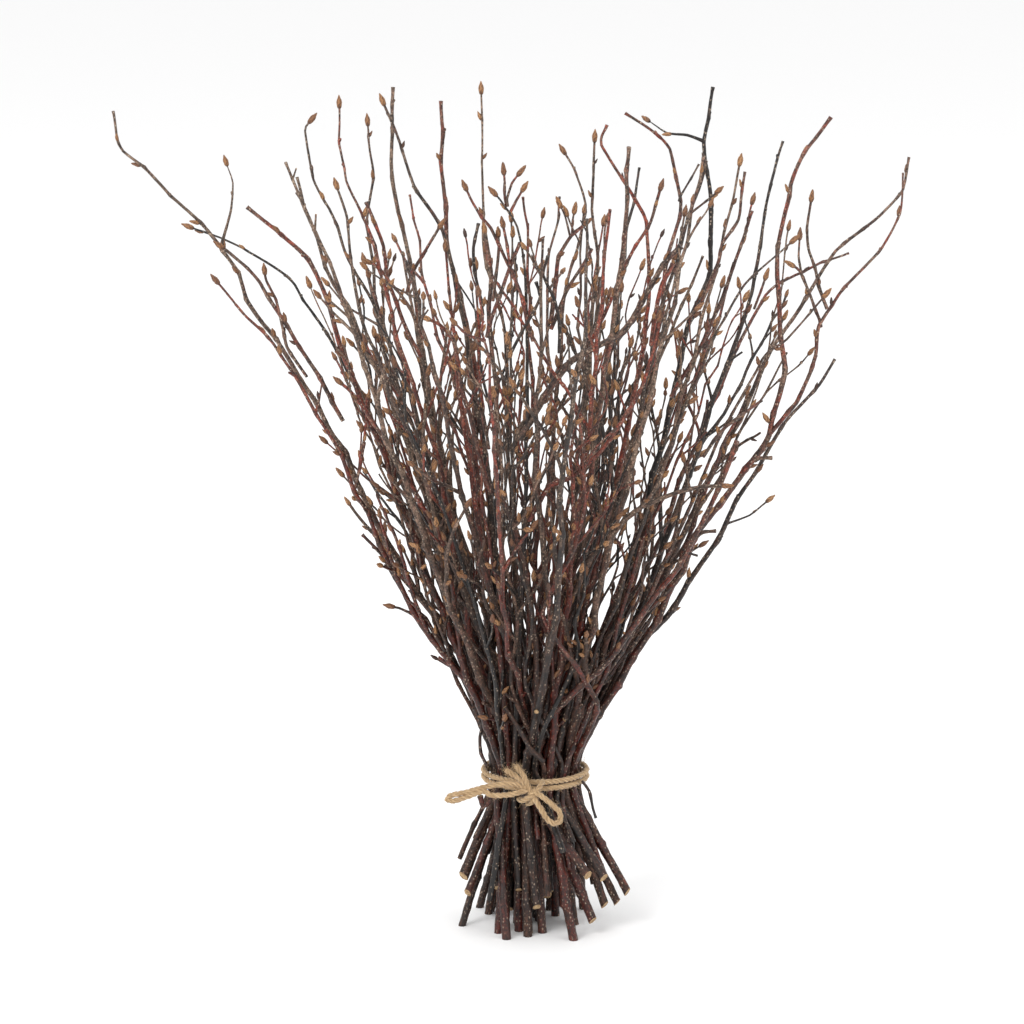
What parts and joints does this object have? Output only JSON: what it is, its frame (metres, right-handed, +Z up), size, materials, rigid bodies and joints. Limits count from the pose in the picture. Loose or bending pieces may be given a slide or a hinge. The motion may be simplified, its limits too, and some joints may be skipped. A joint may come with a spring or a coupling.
{
  "type": "bundle of twigs",
  "caption": "Sheaf of young birch twigs with buds, tied at the neck with a bow of jute twine and standing on its splayed cut ends.",
  "frame": {"origin": "centre of the bounding box, on the surface that the cut ends stand on", "axes": "+Z up along the bundle, the bow faces -Y, +X to the right seen from the front"},
  "size_m": [0.388, 0.3378, 0.4209],
  "materials": {
    "bark_red_brown": "thin smooth red-brown birch bark with pale lenticels, slightly glossy",
    "bark_grey_brown": "grey-brown birch bark with a dull bloom and pale lenticels",
    "bark_dark_brown": "dark brown birch bark with pale lenticels, slightly glossy",
    "jute": "three-ply natural jute twine, matt and hairy"
  },
  "bodies": {
    "root": {"twig_01": "bark_grey_brown", "twig_02": "bark_dark_brown", "twig_03": "bark_red_brown", "twig_04": "bark_grey_brown", "twig_05": "bark_dark_brown", "twig_06": "bark_red_brown", "twig_07": "bark_grey_brown", "twig_08": "bark_dark_brown", "twig_09": "bark_red_brown", "twig_10": "bark_grey_brown", "twig_11": "bark_dark_brown", "twig_12": "bark_red_brown", "twig_13": "bark_grey_brown", "twig_14": "bark_dark_brown", "twig_15": "bark_red_brown", "twig_16": "bark_grey_brown", "twig_17": "bark_dark_brown", "twig_18": "bark_red_brown", "twig_19": "bark_grey_brown", "twig_20": "bark_dark_brown", "twig_21": "bark_red_brown", "twig_22": "bark_grey_brown", "twig_23": "bark_dark_brown", "twig_24": "bark_red_brown", "twig_24_fork": "bark_red_brown", "twig_25": "bark_grey_brown", "twig_26": "bark_dark_brown", "twig_27": "bark_red_brown", "twig_28": "bark_grey_brown", "twig_29": "bark_dark_brown", "twig_30": "bark_red_brown", "twig_31": "bark_grey_brown", "twig_32": "bark_dark_brown", "twig_33": "bark_red_brown", "twig_34": "bark_grey_brown", "twig_35": "bark_dark_brown", "twig_36": "bark_red_brown", "twig_37": "bark_grey_brown", "twig_38": "bark_dark_brown", "twig_39": "bark_red_brown", "twig_40": "bark_grey_brown", "twig_41": "bark_dark_brown", "twig_42": "bark_red_brown", "twig_43": "bark_grey_brown", "twig_44": "bark_dark_brown", "twig_45": "bark_red_brown", "twig_46": "bark_grey_brown", "twig_47": "bark_dark_brown", "twig_48": "bark_red_brown", "twig_49": "bark_grey_brown", "twig_50": "bark_dark_brown", "twig_51": "bark_red_brown", "twine_tie": "jute"}
  },
  "joints": []
}
